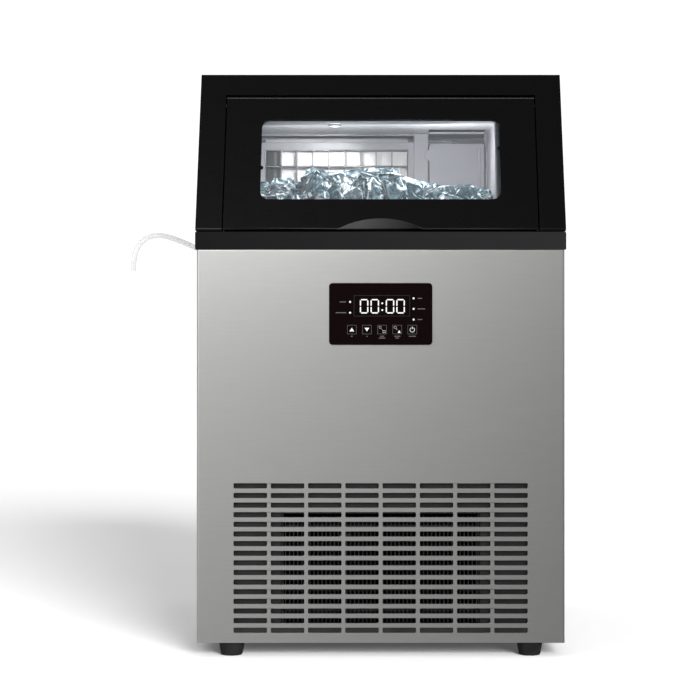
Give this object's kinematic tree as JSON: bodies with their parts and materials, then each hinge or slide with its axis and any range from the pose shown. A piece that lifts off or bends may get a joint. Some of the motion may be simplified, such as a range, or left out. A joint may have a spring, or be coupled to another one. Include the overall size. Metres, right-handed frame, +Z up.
{
  "type": "ice maker",
  "caption": "Freestanding cube ice maker: steel cabinet with a slotted grille and control panel, black hood with a sloping windowed door, and a short water tube at the back.",
  "frame": {"origin": "on the floor, under the centre of the machine without its loose water tube", "axes": "+Z up, +X to the machine's left as it faces forward (the viewer's right), -Y is the front with the door, controls and grille"},
  "size_m": [0.4804, 0.4, 0.592],
  "materials": {
    "stainless": "satin",
    "galvanised": "matte",
    "hood_black": "satin",
    "collar_black": "satin",
    "panel_black": "gloss",
    "machine_black": "matte",
    "black_enamel": "gloss",
    "rubber": "matte",
    "white_plastic": "satin",
    "grey_plastic": "satin",
    "foam": "matte",
    "nickel": "polished",
    "copper": "satin",
    "dark_paint": "matte",
    "circuit_board": "satin",
    "clear_plastic": "gloss",
    "window": "gloss"
  },
  "bodies": {
    "cabinet": {"front_panel": "stainless", "side_panel_left": "stainless", "side_panel_right": "stainless", "back_panel": "galvanised", "deck_plate": "galvanised", "air_baffle": "dark_paint", "base_tray": "dark_paint", "hood_shell": "hood_black", "top_collar": "collar_black", "control_panel": "panel_black", "fan_shroud": "machine_black", "water_pump": "machine_black", "inlet_valve": "machine_black", "drain_spout": "machine_black", "compressor": "black_enamel", "fan_motor": "black_enamel", "condenser": "black_enamel", "foot_front_left": "rubber", "foot_front_right": "rubber", "foot_rear_left": "rubber", "foot_rear_right": "rubber", "power_gland": "rubber", "bin_liner": "white_plastic", "hood_liner": "white_plastic", "evaporator_frame": "white_plastic", "water_tank": "white_plastic", "water_distributor": "white_plastic", "ice_slide": "white_plastic", "bin_lamp": "white_plastic", "pump_cover": "grey_plastic", "float_stem": "grey_plastic", "control_box": "grey_plastic", "inlet_elbow": "grey_plastic", "bin_insulation": "foam", "evaporator_grid": "nickel", "evaporator_coil": "copper", "capillary_tube": "copper", "suction_pipe": "copper", "discharge_pipe": "copper", "filter_drier": "copper", "hot_gas_valve": "copper", "control_board": "circuit_board", "pump_hose": "clear_plastic", "drain_hose": "clear_plastic", "water_line": "clear_plastic"},
    "door": {"door_frame": "hood_black", "door_pane": "window", "door_gasket": "rubber", "hinge_pin_left": "black_enamel", "hinge_pin_right": "black_enamel"},
    "fan": {"fan_blades": "machine_black"},
    "impeller": {"pump_impeller": "white_plastic"},
    "float": {"level_float": "white_plastic"},
    "button_up": {"key_up": "panel_black"},
    "button_down": {"key_down": "panel_black"},
    "button_timer": {"key_timer": "panel_black"},
    "button_clean": {"key_clean": "panel_black"},
    "button_power": {"key_power": "panel_black"},
    "plug_cap": {"drain_cap": "rubber"}
  },
  "joints": [
    {"name": "door_hinge", "type": "hinge", "parent": "cabinet", "child": "door", "pos_m": [0, -0.12521, 0.55855], "axis": [-1, 0, 0], "range_deg": [0, 100]},
    {"name": "fan_spin", "type": "hinge", "parent": "cabinet", "child": "fan", "pos_m": [0, -0.135, 0.086], "axis": [0, 1, 0], "continuous": true},
    {"name": "impeller_spin", "type": "hinge", "parent": "cabinet", "child": "impeller", "pos_m": [0.115, 0.118, 0.41], "axis": [0, 0, 1], "continuous": true},
    {"name": "float_slide", "type": "slide", "parent": "cabinet", "child": "float", "axis": [0, 0, 1], "range_m": [0, 0.018]},
    {"name": "up_press", "type": "slide", "parent": "cabinet", "child": "button_up", "axis": [0, 1, 0], "range_m": [0, 0.0004], "stiffness_N_per_m": 2500},
    {"name": "down_press", "type": "slide", "parent": "cabinet", "child": "button_down", "axis": [0, 1, 0], "range_m": [0, 0.0004], "stiffness_N_per_m": 2500},
    {"name": "timer_press", "type": "slide", "parent": "cabinet", "child": "button_timer", "axis": [0, 1, 0], "range_m": [0, 0.0004], "stiffness_N_per_m": 2500},
    {"name": "clean_press", "type": "slide", "parent": "cabinet", "child": "button_clean", "axis": [0, 1, 0], "range_m": [0, 0.0004], "stiffness_N_per_m": 2500},
    {"name": "power_press", "type": "slide", "parent": "cabinet", "child": "button_power", "axis": [0, 1, 0], "range_m": [0, 0.0004], "stiffness_N_per_m": 2500},
    {"name": "drain_cap_pull", "type": "slide", "parent": "cabinet", "child": "plug_cap", "axis": [0, 1, 0], "range_m": [0, 0.02]}
  ]
}
